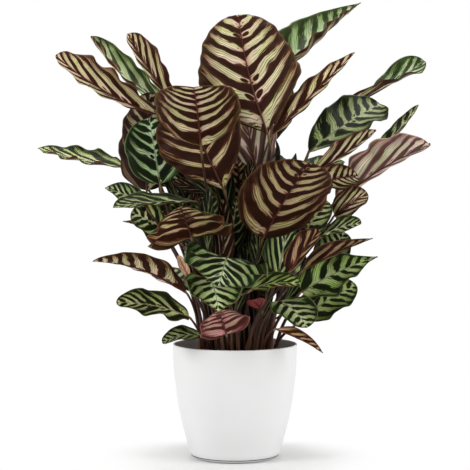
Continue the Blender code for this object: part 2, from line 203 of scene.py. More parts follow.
def makeStripeGroup(name):
    inputs = ("Phase", "Across", "Along", "Distance", "Wider", "Number")
    outputs = ("Bars", "Lines", "Streaks", "Edge", "Hem", "Rib", "Heart", "Relief")
    tree, given, result = newGroup(name + " stripes", inputs, outputs)
    s = stripes
    across = given["Across"]
    away = calc(tree, "ABSOLUTE", across)
    own = times(tree, given["Number"], s["leafStep"])
    # the stripes wander along the leaf, and their ends are ragged
    lengthwise, crosswise, scale = s["wanderNoise"]
    broad = joinXyz(tree, times(tree, given["Phase"], lengthwise), times(tree, across, crosswise), own)
    drift = minus(tree, noise(tree, broad, scale), 0.5)
    phase = timesPlus(tree, drift, s["wander"], given["Phase"])
    ragged = veinNoise(tree, phase, across, own, *s["fingerNoise"])
    reach = timesPlus(tree, minus(tree, ragged, 0.5), s["fingers"], away)
    # a bar is dark out to its half width, which follows the list of its half of the blade
    beat = minus(tree, calc(tree, "FRACT", phase), 0.5)
    fromBar = times(tree, calc(tree, "ABSOLUTE", beat), 2.0)
    half = calc(tree, "GREATER_THAN", across, 0.0)
    widths = blend(tree, half, *(ramp(tree, reach, stops) for stops in s[name]))
    place = joinXyz(tree, given["Phase"], across, own)
    uneven = minus(tree, noise(tree, place, s["unevenScale"]), 0.5)
    width = timesPlus(tree, uneven, s["unevenness"], plus(tree, widths, given["Wider"]))
    streaks = veinNoise(tree, phase, across, own, *s["featherNoise"])
    feather = times(tree, minus(tree, streaks, 0.5), away)
    width = timesPlus(tree, feather, s["feather"], width)
    low, high = (plus(tree, width, way * s["softness"]) for way in (-1, 1))
    pale = smooth(tree, fromBar, low, high)
    outwards = calc(tree, "DIVIDE", fromBar, width)
    heart = minus(tree, 1.0, smooth(tree, outwards, *s["heart"]))
    # short ovals beside the midrib, inside about half of the pale stripes, each of its own length
    number = calc(tree, "FLOOR", plus(tree, phase, 0.5))
    drawn = plus(tree, number, times(tree, own, s["ovalStep"]))
    draw = putNode(tree, "TexWhiteNoise", {"W": drawn}, noise_dimensions="1D").outputs["Value"]
    shortest, longest = s["ovalLength"]
    length = calc(tree, "MAXIMUM", timesPlus(tree, draw, longest - shortest, shortest), s["ovalLeast"])
    broadness = times(tree, length, s["ovalWidth"] / longest)
    ovalX = calc(tree, "DIVIDE", minus(tree, 1.0, fromBar), broadness)
    ovalY = calc(tree, "DIVIDE", minus(tree, away, s["ovalPlace"]), length)
    squares = timesPlus(tree, ovalX, ovalX, times(tree, ovalY, ovalY))
    oval, ovalHeart = (minus(tree, 1.0, smooth(tree, squares, *s[key])) for key in ("ovalEdge", "ovalHeart"))
    # fine lines follow the veins and widen towards the edge
    wave = calc(tree, "COSINE", times(tree, phase, 2 * math.pi * s["veinsPerStripe"]))
    thin = timesPlus(tree, away, *s["lineWidth"])
    ribWidth = times(tree, minus(tree, s["ribTaper"], given["Along"]), s["ribWidth"])
    ribEnd = timesPlus(tree, ribWidth, *s["ribSoftness"])
    masks = {
        "Bars": calc(tree, "MAXIMUM", minus(tree, 1.0, pale), oval),
        "Lines": smooth(tree, wave, thin, plus(tree, thin, s["lineSoftness"])),
        "Streaks": streaks,
        "Edge": smooth(tree, reach, *s["edgeBand"][name]),
        "Hem": smooth(tree, away, *s["hem"]),
        "Rib": minus(tree, 1.0, smooth(tree, given["Distance"], ribWidth, ribEnd)),
        "Heart": calc(tree, "MAXIMUM", heart, ovalHeart),
        "Relief": timesPlus(tree, wave, 0.5, 0.5),
    }
    for label, mask in masks.items():
        feed(tree, mask, result[label])
    return tree


stripeGroups = {name: makeStripeGroup(name) for name in ("upper", "under")}

# Colours of one side of a leaf: pale from the midrib to the edge, the bars' heart and rim, the edge band and
# its hem, the fine lines in the pale stripes, and the midrib
leafSides = {
    "green": dict(
        side="upper", rough=0.42, lineForce=0.85,
        pale=[(0.0, (0.46, 0.52, 0.31)), (0.35, (0.45, 0.52, 0.23)), (0.9, (0.20, 0.27, 0.09))],
        heart=(0.0085, 0.0115, 0.0035), rim=(0.022, 0.031, 0.009), edge=(0.016, 0.022, 0.006),
        hem=(0.14, 0.17, 0.07), line=(0.030, 0.050, 0.012), rib=(0.22, 0.25, 0.10)),
    "fresh": dict(
        side="upper", rough=0.42, lineForce=0.6,
        pale=[(0.0, (0.48, 0.55, 0.36)), (0.5, (0.49, 0.58, 0.29)), (0.9, (0.25, 0.34, 0.12))],
        heart=(0.039, 0.055, 0.016), rim=(0.066, 0.105, 0.028), edge=(0.054, 0.080, 0.022),
        hem=(0.23, 0.29, 0.13), line=(0.11, 0.19, 0.055), rib=(0.32, 0.38, 0.17)),
    "lime": dict(
        side="upper", rough=0.42, lineForce=0.85,
        pale=[(0.0, (0.43, 0.52, 0.22)), (0.35, (0.41, 0.52, 0.15)), (0.9, (0.17, 0.26, 0.055))],
        heart=(0.013, 0.017, 0.0055), rim=(0.026, 0.036, 0.010), edge=(0.016, 0.022, 0.006),
        hem=(0.14, 0.17, 0.07), line=(0.030, 0.050, 0.012), rib=(0.22, 0.25, 0.10)),
    "purple": dict(
        side="under", rough=0.5, lineForce=0.85,
        pale=[(0.0, (0.40, 0.22, 0.15)), (0.12, (0.58, 0.50, 0.33)), (0.5, (0.61, 0.60, 0.34)),
              (0.9, (0.31, 0.20, 0.10))],
        heart=(0.028, 0.0105, 0.0058), rim=(0.074, 0.020, 0.0095), edge=(0.050, 0.028, 0.011),
        hem=(0.10, 0.055, 0.025), line=(0.080, 0.040, 0.015), rib=(0.115, 0.022, 0.012)),
    "pink": dict(
        side="under", rough=0.45, lineForce=0.7,
        pale=[(0.0, (0.56, 0.23, 0.19)), (0.5, (0.66, 0.38, 0.31)), (0.9, (0.34, 0.11, 0.09))],
        heart=(0.060, 0.0125, 0.010), rim=(0.125, 0.026, 0.021), edge=(0.095, 0.026, 0.020),
        hem=(0.36, 0.14, 0.11), line=(0.14, 0.034, 0.028), rib=(0.30, 0.020, 0.028)),
    "red": dict(
        side="under", rough=0.42, lineForce=0.5,
        pale=[(0.0, (0.38, 0.090, 0.085)), (0.9, (0.27, 0.070, 0.06))],
        heart=(0.14, 0.026, 0.026), rim=(0.19, 0.034, 0.032), edge=(0.12, 0.024, 0.020),
        hem=(0.28, 0.09, 0.07), line=(0.15, 0.03, 0.03), rib=(0.22, 0.03, 0.03)),
    "brown": dict(
        side="under", rough=0.5, lineForce=0.8,
        pale=[(0.0, (0.28, 0.14, 0.07)), (0.5, (0.38, 0.30, 0.16)), (0.9, (0.18, 0.09, 0.04))],
        heart=(0.017, 0.0065, 0.004), rim=(0.070, 0.020, 0.008), edge=(0.060, 0.024, 0.010),
        hem=(0.17, 0.09, 0.05), line=(0.075, 0.028, 0.012), rib=(0.13, 0.033, 0.014)),
    "mauve": dict(
        side="under", rough=0.5, lineForce=0.7,
        pale=[(0.0, (0.42, 0.32, 0.25)), (0.5, (0.54, 0.51, 0.38)), (0.9, (0.32, 0.19, 0.17))],
        heart=(0.078, 0.038, 0.034), rim=(0.15, 0.066, 0.056), edge=(0.15, 0.09, 0.07),
        hem=(0.30, 0.20, 0.17), line=(0.24, 0.17, 0.12), rib=(0.20, 0.09, 0.07)),
    "dry": dict(
        side="under", rough=0.6, lineForce=0.7,
        pale=[(0.0, (0.74, 0.52, 0.37)), (1.0, (0.80, 0.60, 0.45))],
        heart=(0.52, 0.33, 0.21), rim=(0.62, 0.41, 0.27), edge=(0.46, 0.27, 0.17),
        hem=(0.36, 0.20, 0.11), line=(0.30, 0.17, 0.09), rib=(0.30, 0.16, 0.09)),
}
leafLook = {
    "streaks": 1.5,
    "bands": {"Edge": 0.85, "Hem": 0.8, "Rib": 1.0},  # how strongly each covers the stripes
    "clouds": 0.55,
    "cloudNoise": (45.0, 3.0),
    "cells": 0.3,
    "cellNoise": (900.0, 2.0),
    "warmth": (0.25, 0.0, -0.15),  # of red, green and blue
    "hueNoise": (3.0, 1.6, 2.0),
    "hueSpread": (0.9, 0.0, 1.5),
    "roughSpread": 0.24,
    "gloss": 0.06,
    "cellRelief": 0.5,
    "bump": (0.35, 0.3 * mm),
}


def makeLeafSide(name, look):
    w = leafLook
    material, tree, shader = newMaterial("leaf " + name)
    veins, place, toneAndShade, habit = (readMap(tree, label) for label in ("veins", "place", "toneAndShade", "habit"))
    inputs = {"Phase": veins["X"], "Across": veins["Y"], "Along": place["X"], "Distance": place["Y"],
              "Wider": habit["X"], "Number": habit["Y"]}
    mask = putGroup(tree, stripeGroups[look["side"]], inputs)
    spots = putNode(tree, "TexCoord").outputs["Object"]
    clouds, cells = (noise(tree, spots, *w[key]) for key in ("cloudNoise", "cellNoise"))
    pale = ramp(tree, calc(tree, "ABSOLUTE", veins["Y"]), look["pale"])
    pale = blend(tree, times(tree, mask["Lines"], look["lineForce"]), pale, (*look["line"], 1))
    bar = blend(tree, mask["Heart"], (*look["rim"], 1), (*look["heart"], 1))
    streaked = timesPlus(tree, mask["Streaks"], w["streaks"], 1 - w["streaks"] / 2)
    colour = shaded(tree, blend(tree, mask["Bars"], pale, bar), streaked)
    for label, force in w["bands"].items():
        colour = blend(tree, times(tree, mask[label], force), colour, (*look[label.lower()], 1))
    # a leaf's tone: how bright it is, partly its own and partly painted shade and painted light for where the
    # leaf stands, and how far it leans from green to red
    light = timesPlus(tree, clouds, w["clouds"], 1 - (w["clouds"] + w["cells"]) / 2)
    light = times(tree, timesPlus(tree, cells, w["cells"], light), toneAndShade["X"])
    # streaks along the veins lean from yellow green to a dull pink
    hue = veinNoise(tree, veins["X"], veins["Y"], toneAndShade["X"], *w["hueNoise"])
    shares = []
    for lean, spread in zip(w["warmth"], w["hueSpread"]):
        own = timesPlus(tree, toneAndShade["Y"], lean, 1 - spread / 2)
        shares.append(times(tree, light, timesPlus(tree, hue, spread, own)))
    colour = blend(tree, 1.0, colour, joinXyz(tree, *shares), "MULTIPLY")
    rough = timesPlus(tree, clouds, w["roughSpread"], look["rough"] - w["roughSpread"] / 2)
    height = timesPlus(tree, cells, w["cellRelief"], mask["Relief"])
    dress(tree, shader, colour, rough, w["gloss"], (height, *w["bump"]))
    return material


leafMaterials = {name: makeLeafSide(name, look) for name, look in leafSides.items()}

stalkLook = {
    # from the soil (0) to the blade (0.5), and on under its midrib to the tip (1)
    "stops": [(0.0, (0.12, 0.050, 0.024)), (0.12, (0.030, 0.012, 0.007)), (0.44, (0.030, 0.012, 0.007)),
              (0.49, (0.16, 0.11, 0.04)), (0.53, (0.085, 0.021, 0.010)), (0.95, (0.045, 0.013, 0.008))],
    # colour of the pale streaks: partly the stalk's own streaking, partly painted highlight of its gloss
    "streaks": (0.165, 0.078, 0.050),
    "fibreAndSheenStretch": (1.5, 9.0),
    "fibreAndSheenNoise": (2.2, 3.0, 0.6),
    "fibreAndSheenEdge": (0.5, 0.68),
    "streakEnd": (0.9, 1.05),
    "rough": 0.25,
    "roughSpread": 0.3,
    "gloss": 0.2,
    "bump": (0.4, 0.4 * mm),
}


def makeStalk():
    s = stalkLook
    material, tree, shader = newMaterial("stalk")
    place, toneAndShade = readMap(tree, "place"), readMap(tree, "toneAndShade")
    along = ramp(tree, times(tree, place["X"], 0.5), s["stops"])
    lengthwise, around = (times(tree, place[axis], factor) for axis, factor in zip("XY", s["fibreAndSheenStretch"]))
    fibresAndSheen = noise(tree, joinXyz(tree, lengthwise, around), *s["fibreAndSheenNoise"])
    onStem = minus(tree, 1.0, smooth(tree, place["X"], *s["streakEnd"]))
    # pale streaks along the stalk, fading out under the blade: partly its own streaking, partly painted
    # highlight
    streaked = times(tree, smooth(tree, fibresAndSheen, *s["fibreAndSheenEdge"]), onStem)
    # the stalk takes its leaf's brightness, with the painted shade and painted light in it
    colour = shaded(tree, blend(tree, streaked, along, (*s["streaks"], 1)), toneAndShade["X"])
    rough = timesPlus(tree, fibresAndSheen, s["roughSpread"], s["rough"])
    dress(tree, shader, colour, rough, s["gloss"], (fibresAndSheen, *s["bump"]))
    return material


stalkMaterial = makeStalk()
print("leaf materials made:", len(leafMaterials) + 1)


# Meshes from whole arrays: faces are arrays of corner numbers, each with its own count of corners per face.
# maps gives each UV map as one pair per corner, and slots the material number of each face array.

def buildMesh(name, points, faces, materials, slots=None, maps=None, soft=True):
    mesh = bpy.data.meshes.new(name)
    corners = np.concatenate([np.asarray(f, np.int32).ravel() for f in faces])
    sizes = np.concatenate([np.full(len(f), np.shape(f)[1], np.int32) for f in faces])
    mesh.vertices.add(len(points))
    mesh.vertices.foreach_set("co", np.asarray(points, np.float32).ravel())
    mesh.loops.add(len(corners))
    mesh.loops.foreach_set("vertex_index", corners)
    mesh.polygons.add(len(sizes))
    mesh.polygons.foreach_set("loop_start", np.concatenate([[0], np.cumsum(sizes)[:-1]]).astype(np.int32))
    mesh.polygons.foreach_set("use_smooth", np.full(len(sizes), soft))
    for material in materials:
        mesh.materials.append(material)
    if slots:
        numbers = np.concatenate([np.full(len(f), slot, np.int32) for f, slot in zip(faces, slots)])
        mesh.polygons.foreach_set("material_index", numbers)
    for label, pairs in (maps or {}).items():
        layer = mesh.uv_layers.new(name=label)
        layer.data.foreach_set("uv", np.asarray(pairs, np.float32).ravel())
    mesh.update(calc_edges=True)
    mesh.validate()
    piece = bpy.data.objects.new(name, mesh)
    scene.collection.objects.link(piece)
    return piece


def unit(vectors):
    return vectors / np.linalg.norm(vectors, axis=-1, keepdims=True)


def curve(points, t):  # places and directions at t on a cubic curve with four control points
    a, b, c, d = points
    t = np.asarray(t, float)[:, None]
    place = (1 - t) ** 3 * a + 3 * (1 - t) ** 2 * t * b + 3 * (1 - t) * t * t * c + t**3 * d
    slope = 3 * (1 - t) ** 2 * (b - a) + 6 * (1 - t) * t * (c - b) + 3 * t * t * (d - c)
    return place, unit(slope)


def gridFaces(rows, columns, start=0):  # quads of a grid of points that runs row by row
    first = start + np.arange(rows - 1)[:, None] * columns + np.arange(columns - 1)[None, :]
    first = first.ravel()
    return np.stack([first, first + 1, first + columns + 1, first + columns], axis=1)


def tubeFaces(rings, sides, start=0):  # quads of a tube whose rings follow each other
    grid = np.meshgrid(np.arange(rings - 1) * sides, np.arange(sides), indexing="ij")
    ring, side = (part.ravel() for part in grid)
    after = (side + 1) % sides
    return start + np.stack([ring + side, ring + after, ring + sides + after, ring + sides + side], axis=1)


# Leaves. A row gives the two ends of the midrib in millimetres, the way the green side looks, the blade's
# width, how much its midrib arches, how far its halves curl up, its twist, where it is widest, how its tip
# and its base end, and how much its midrib bows sideways.
leafShape = namedtuple("leafShape", "base tip face width arch curl twist belly sharp wedge sway",
                       defaults=(0.46, 0, 0, 0))
leafRows = {
    "crown": ((46, -50, 468), (5, -25, 636), (0, 1, 0), 151, -10, 24, 0, 0.44, -2, 1, 6),
    "round_left": ((-47, -100, 451), (-54, -225, 527), (0, 0.6, 0.8), 118, 8, 22, 0, 0.42, -0.3),
    "under_left": ((-16, -72, 390), (-73, -75, 515), (0.1, 1, 0.1), 125, -6, 20, 0, 0.6, 0, 0.7),
    "round_right": ((39, -100, 323), (99, -195, 428), (0, 0.6, 0.8), 124, 6, 20, 0),
    "fan_low": ((-109, 0, 495), (-251, -60, 577), (0.35, 0.8, 0.5), 66, -14, 85, 0, 0.6, 0, 0.6),
    "fan_mid": ((-97, 58, 507), (-217, 120, 614), (0.4, -0.6, 0.65), 54, -11, 80, 50, 0.6, -0.3, 0.4),
    "fan_high": ((-80, -25, 503), (-146, -110, 604), (0.4, 0.85, 0.3), 50, -6, 85, 0, 0.66, 0, 0.8),
    "spear_left": ((-163, 62, 419), (-297, 120, 447), (0, -0.3, 1), 60, -2, 35, 0, 0.4, 0.3, 0.5),
    "dark_left": ((-128, 18, 386), (-124, 26, 528), (0.1, 1, 0), 86, -6, 20, 0, 0.34),
    "green_left": ((-106, -45, 397), (-122, -22, 490), (0, -1, 0.3), 84, 6, 20, 0),
    "small_left": ((-125, -60, 364), (-180, -92, 392), (0, -0.7, 0.7), 46, 4, 25, 0, 0.4, 0.6),
    "long_left": ((-56, -60, 372), (-167, -120, 366), (0, -0.35, 0.95), 52, 4, 30, 0, 0.6, 0.3, 0.6),
    "rolled_left": ((-101, 3, 318), (-161, -10, 342), (0, -0.3, 0.95), 36, 4, 85, 0, 0.3, 1),
    "inner_left": ((-81, -15, 317), (-148, -28, 356), (0, -0.7, 0.7), 70, 4, 25, 0),
    "front_left": ((-60, -110, 326), (-72, -222, 371), (-0.2, 0.3, 0.9), 122, 4, -40, 0, 0.3, 0.2),
    "wavy_left": ((-70, -30, 241), (-197, -95, 290), (0.3, 0.6, 0.75), 54, 13, 70, -20, 0.4, 0.2, 0.6),
    "low_left": ((-65, -60, 209), (-165, -95, 233), (0, -0.6, 0.8), 56, 8, 25, 0),
    "front_high": ((-12, -110, 296), (-22, -215, 265), (0.3, -0.05, 1), 120, 8, 20, 0),
    "front_mid": ((-36, -98, 268), (-22, -185, 230), (0.1, -0.45, 0.9), 84, 8, 22, 0, 0.4, 0.3),
    "front_right": ((8, -120, 246), (88, -170, 265), (0, -0.5, 0.87), 46, 8, 30, 0),
    "pink": ((-12, -102, 190), (-22, -155, 228), (-0.3, 0.5, 0.85), 76, 4, -35, 0),
    "red_bud": ((37, -80, 221), (24, -112, 238), (0, 0.7, 0.7), 26, 2, 30, 0),
    "rim_left": ((-46, -68, 183), (-102, -80, 175), (0, -0.35, 0.94), 44, 6, 25, 0),
    "low_right": ((62, -105, 236), (98, -160, 205), (0.2, -0.65, 0.7), 64, 6, 25, 0),
    "rim_right": ((59, -82, 194), (122, -100, 163), (0.4, 0.55, 0.7), 27, 4, 70, 0, 0.35, 0.6, 0.5),
    "green_right": ((93, -86, 247), (199, -82, 296), (-0.2, -0.7, 0.7), 86, 6, 25, 0, 0.32, 1.3),
    "back_right": ((97, -50, 207), (172, -45, 253), (-0.1, -0.75, 0.65), 62, 6, 25, 0),
    "brown_right": ((74, -142, 279), (116, -138, 335), (-0.4, 0.8, 0.4), 44, 4, 80, 0),
    "tail_right": ((96, -96, 279), (190, -110, 323), (-0.2, 0.5, 0.85), 48, 4, 50, 0, 0.35, 1, 0.5),
    "pale_right": ((146, -10, 369), (270, -90, 451), (-0.3, 0.7, 0.78), 84, 10, 90, 0, 0.5, 0, 0.3),
    "striped_right": ((122, -52, 399), (171, -84, 409), (0, 0.8, 0.5), 46, 3, 20, 0),
    "oval_right": ((106, -30, 442), (211, 25, 511), (-0.25, -0.65, 0.7), 88, 6, 25, 0, 0.65, -0.3, 0.4),
    "narrow_right": ((104, -92, 411), (194, -110, 472), (-0.3, 0.7, 0.6), 42, -3, 85, 0, 0.46, 0.3, 1),
    "reach_right": ((127, 34, 494), (281, 92, 577), (-0.5, 0.1, 0.85), 56, -7, 50, 130, 0.76, 0, 1),
    "top_right": ((72, 15, 562), (188, 110, 664), (-0.5, -0.6, 0.5), 100, 5, 80, 0, 0.24, 1),
    "high_right": ((54, -16, 466), (170, -24, 583), (-0.5, 0.8, 0.35), 44, 2, 75, 0, 0.32, 0.5, 0.8),
    "tip_right": ((201, 45, 434), (276, 120, 512), (-0.3, -0.5, 0.8), 27, -4, 75, 0, 0.4, 0.2, 0.8),
    "mid_right": ((141, -45, 352), (187, -58, 383), (0, -0.7, 0.7), 50, 4, 25, 0),
    "side_right": ((120, -68, 323), (175, -96, 343), (0, -0.5, 0.85), 46, 4, 25, 0),
    "inner_right": ((125, -35, 274), (157, -25, 327), (-0.2, -0.85, 0.5), 55, 4, 25, 0),
    "core_right": ((61, -80, 273), (73, -74, 335), (0, -1, 0.15), 56, 4, 20, 0),
    "core_pale": ((31, 15, 415), (9, 30, 522), (0, 1, 0), 80, -4, 25, 0),
    "core_dark": ((8, -8, 372), (4, -18, 428), (0, 1, 0.1), 40, 2, 25, 0),
    "core_left": ((-67, 33, 319), (-85, 28, 388), (0, -1, 0.1), 60, 4, 20, 0),
    "core_green": ((-34, -25, 306), (-41, -25, 380), (0, -1, 0.1), 60, 4, 20, 0),
    "core_front": ((-6, -38, 304), (2, -30, 373), (0, -1, 0.3), 40, 4, 20, 0),
    "rear_low_left": ((-62, 88, 232), (-122, 165, 258), (0.2, -0.2, 0.95), 84, 10, 25, 0),
    "rear_low": ((5, 95, 240), (0, 215, 262), (0, -0.2, 1), 90, 12, 22, 0),
    "rear_low_right": ((78, 80, 236), (160, 150, 268), (-0.2, -0.2, 0.95), 85, 10, 25, 0),
    "rear_side_left": ((-66, 72, 300), (-118, 150, 345), (0.3, -0.5, 0.8), 80, 8, 25, 0),
    "rear_core": ((-5, 100, 305), (-12, 185, 352), (0, -0.5, 0.85), 88, 8, 22, 0),
    "rear_side_right": ((76, 66, 292), (148, 130, 330), (-0.3, -0.4, 0.85), 80, 8, 25, 0),
    "rear_mid_left": ((-62, 75, 376), (-125, 150, 452), (0.3, -0.5, 0.8), 96, 8, 22, 0),
    "rear_mid": ((10, 85, 385), (20, 185, 455), (0, -0.7, 0.7), 110, 8, 20, 0),
    "rear_mid_right": ((80, 65, 362), (155, 130, 430), (-0.3, -0.5, 0.8), 92, 8, 22, 0),
    "rear_high_left": ((-30, 70, 430), (-66, 155, 505), (0.2, -0.6, 0.7), 84, 8, 22, 0),
    "rear_top": ((-5, 60, 470), (-10, 118, 577), (0, -0.9, 0.3), 80, 6, 22, 0),
    "rear_top_right": ((48, 62, 455), (58, 135, 560), (-0.1, -0.8, 0.4), 74, 6, 22, 0),
}
leaves = {name: leafShape(*row) for name, row in leafRows.items()}
finishes = {  # the upper and the under side of a leaf that isn't green above and purple below
    "pink": ("pink", "pink"), "red_bud": ("red", "red"), "fan_mid": ("fresh", "purple"),
    "brown_right": ("green", "brown"), "tail_right": ("green", "brown"), "rim_right": ("green", "brown"),
    "pale_right": ("green", "mauve"), "core_pale": ("green", "mauve"), "mid_right": ("purple", "purple"),
    "reach_right": ("fresh", "purple"), "top_right": ("fresh", "purple"), "sheath": ("dry", "dry"),
    "green_right": ("lime", "purple"), "back_right": ("lime", "purple"),
    "front_right": ("lime", "purple"),
}
usual = {"brightness": (0.85, 1.0), "warmth": (-0.3, 0.4), "bars": (-0.04, 0.06)}
# Many brightnesses below are painted shade and painted light for where a leaf stands: under_left and the core
# leaves are darker where other leaves shade them, top_right is darker against the light it takes from above,
# and front_mid, low_left and core_pale are brighter though they lie in shade
tonesAndShade = {  # a leaf's brightness and warmth, where it differs from the rest
    "crown": (1.02, 0.1), "round_left": (1.06, 0.3), "under_left": (0.75, 0.6),
    "round_right": (0.64, 0.8), "fan_low": (1.03, 0.4), "fan_mid": (0.85, 0.1), "fan_high": (1.03, 0.4),
    "high_right": (1.1, 0.45), "top_right": (0.86, -0.1), "tip_right": (1.1, 0.1),
    "pale_right": (1.22, 0.1), "core_pale": (1.4, 0.0), "dark_left": (0.6, 0.0),
    "green_left": (0.95, -0.5), "core_dark": (0.9, 0.6), "core_left": (0.7, 0.2),
    "core_green": (0.72, 0.0), "core_front": (0.6, 0.2), "core_right": (1.0, 0.0),
    "front_left": (0.88, 0.9), "spear_left": (1.2, 0.3), "oval_right": (0.66, 0.1),
    "low_left": (1.24, 0.4), "front_right": (1.25, 0.1), "front_high": (1.1, -0.2),
    "front_mid": (1.6, -0.1), "back_right": (0.98, -0.1), "low_right": (1.1, 0.0),
    "green_right": (0.98, -0.2), "wavy_left": (1.1, 0.3), "inner_left": (1.35, 0.3),
    "rim_left": (0.88, 0.1), "rim_right": (1.4, 0.4), "brown_right": (0.85, 0.5),
    "tail_right": (0.8, 0.2), "striped_right": (1.2, 0.2), "mid_right": (0.85, 0.3),
    "side_right": (1.1, 0.1), "inner_right": (0.8, 0.0), "reach_right": (0.8, -0.1), "pink": (0.8, 0.0),
}
barWidths = {  # how much wider than usual a leaf's dark bars are
    "crown": -0.03, "green_left": 0.12, "dark_left": 0.12, "long_left": 0.1, "inner_left": 0.1,
    "under_left": 0.2, "pink": -0.06, "round_left": 0.07, "front_left": 0.12, "low_left": 0.06,
    "core_left": 0.2, "core_green": 0.2, "core_front": 0.2, "front_high": 0.08, "front_mid": -0.06,
    "green_right": -0.06, "round_right": 0.1, "fan_mid": -0.12, "fan_low": -0.05, "brown_right": 0.1,
    "oval_right": 0.02, "pale_right": -0.08,
}
veinSlopes = {  # slope of the veins on leaves whose stripes lie flatter or steeper than their form would give
    "crown": 0.62, "front_high": 1.5, "wavy_left": 0.6, "core_right": 2.6, "mid_right": 2.4,
    "core_pale": 2.4, "fan_low": 2.9, "fan_mid": 2.8, "fan_high": 2.7, "high_right": 2.9,
    "narrow_right": 2.6, "reach_right": 2.6, "spear_left": 2.6, "tip_right": 2.6, "tail_right": 2.8,
    "brown_right": 2.2, "top_right": 1.2, "inner": 3.6, "round_left": 0.3, "round_right": 0.35,
    "oval_right": 0.45, "green_right": 0.7, "front_mid": 0.8, "pale_right": 2.7,
}
veinBends = {"round_left": 0.85, "round_right": 0.85, "green_left": 0.6, "pale_right": 0.9}
waviness = {  # how much stronger or weaker the waves along some leaves' edges are
    "crown": 0.3, "round_left": 0.4, "round_right": 0.4, "under_left": 0.5, "wavy_left": 2.2,
    "spear_left": 1.8, "fan_low": 1.8, "fan_mid": 1.6, "low_left": 1.5, "high_right": 1.6,
    "reach_right": 1.5, "pale_right": 1.4, "green_right": 1.4,
}
stripeCounts = {
    "crown": 7.8, "pale_right": 4.4, "core_pale": 4.2, "round_right": 7.2, "round_left": 7.6,
    "oval_right": 6.4, "fan_low": 5.6, "fan_mid": 5.0, "fan_high": 4.8, "high_right": 5.6,
    "narrow_right": 4.6, "reach_right": 5.4, "spear_left": 5.2, "tip_right": 4.4, "tail_right": 4.6,
    "top_right": 7.0, "inner": 3.8, "front_high": 5.2, "core_right": 3.4, "brown_right": 3.4,
    "mid_right": 3.6,
}
blade = {
    "thick": 0.5 * mm,
    "baseHalfWidth": 2.4 * mm,
    # bend, power and half width at the end for tips from cut off (-2) to drawn out (2), then bend and power
    # for round and wedged bases
    "tipKinds": (-2, -1, 0, 1, 2),
    "tipForms": ((1.4, 4.0, 2.5, 1.4, 1.0), (0.33, 0.35, 0.58, 1.1, 1.6),
                 (16 * mm, 1 * mm, 1 * mm, 1 * mm, 1 * mm)),
    "baseForms": ((2.0, 1.43), (0.5, 1.0)),
    "waveLength": 40 * mm,
    "waveHeight": 0.09,
    "waveSlant": 1.0,
    "waveStep": 2.4,  # from one leaf's waves to the next leaf's
    "rippleLength": 17 * mm,
    "rippleHeight": 0.022,
    "rippleSlant": 2,
    "rippleStep": 5,
    "pleatHeight": 0.3 * mm,
    "pleatsPerStripe": 2,
    "pleatFade": (6, 6, 12 * mm),  # rise from the midrib, power of the fall to the edge, and least full width
    "stationGap": 1.8 * mm,
    "stations": (36, 110),
    "endCrowding": 0.5,
    "across": 33,
    "acrossPower": 1.35,
    "fewestStripes": 4.4,
    "stripesPerMetre": 17.0,
    "countSpread": (0.93, 1.07),
    # slope of the veins of a leaf as long as wide, its gain as a leaf grows longer, and its least and most
    "veinSlope": (0.45, 0.8, 0.35, 2.8),
    "veinBend": 0.4,
    "crowdToTip": 0.85,
    "seed": 11,
}
stalk = {
    "rootDepth": 12 * mm,
    "rootCircle": 60 * mm,
    "rootSpacing": 12 * mm,
    "rootRounds": 120,
    "rootPush": 0.25,
    "leanAtEdge": 0.75,
    "leanFrom": 60 * mm,
    "rise": 0.5,
    "runIn": 0.2,
    "runInLift": 0.5,
    "steep": {"oval_right": 1.5, "reach_right": 3.0},
    "endGap": 2 * mm,
    "radius": [(0.0, 2.9 * mm), (0.25, 2.4 * mm), (0.5, 1.9 * mm), (0.9, 1.5 * mm), (0.95, 1.8 * mm),
               (1.0, 1.6 * mm), (1.04, 1.4 * mm), (1.5, 0.9 * mm), (1.95, 0.3 * mm)],
    "flutes": (3, 0.07, 1.2),  # how many, their depth, and where they fade out
    "ribStart": 0.01,
    "ribEnd": 0.95,
    "ribCrowding": 1.2,
    "ribSunk": (8, 0.15 * mm),  # how soon the rib lies below the blade, and how far
    "finish": (12, 30, 34),  # its sides, rings and rings under the blade
}
pot = {
    "height": 165 * mm,
    "wall": 3 * mm,
    "floor": 4 * mm,
    "side": [(1.0, 90 * mm), (0.75, 88.1 * mm), (0.49, 82.8 * mm), (0.3, 76.5 * mm), (0.085, 67 * mm)],
    "footRadius": 52 * mm,
    "steps": 128,
    "sideSteps": 26,
    "roundSteps": 9,
    # the inner corner's points: in from the wall and up from the floor
    "fillet": ((3 * mm, 1 * mm), (8 * mm, 0.0)),
}
soil = {"top": 143 * mm, "touchGap": 0.3 * mm}

# How finely a leaf is made: points along and across the blade, and the stalk's sides, rings and rings under
# the blade
finish = namedtuple("finish", "stations across sides steps ribSteps")


def rootPlaces():  # where each stalk leaves the soil: further out for a leaf that leans out, and kept apart
    s = stalk
    bases = np.array([leaf.base for leaf in leaves.values()], float) * mm
    reach = np.linalg.norm(bases[:, :2], axis=1)
    lean = np.clip(reach / (bases[:, 2] - soil["top"] + s["leanFrom"]) / s["leanAtEdge"], 0, 1)
    places = bases[:, :2] / reach[:, None] * (s["rootCircle"] * np.sqrt(lean))[:, None]
    same = np.eye(len(places))
    for _ in range(s["rootRounds"]):
        apart = places[:, None, :] - places[None, :, :]
        distance = np.linalg.norm(apart, axis=2) + same
        push = np.clip(s["rootSpacing"] - distance, 0, None) * (1 - same)
        places = places + s["rootPush"] * (apart / distance[:, :, None] * push[:, :, None]).sum(axis=1)
        radius = np.linalg.norm(places, axis=1)
        places = places * np.minimum(1, s["rootCircle"] / np.maximum(radius, 1e-9))[:, None]
    return places


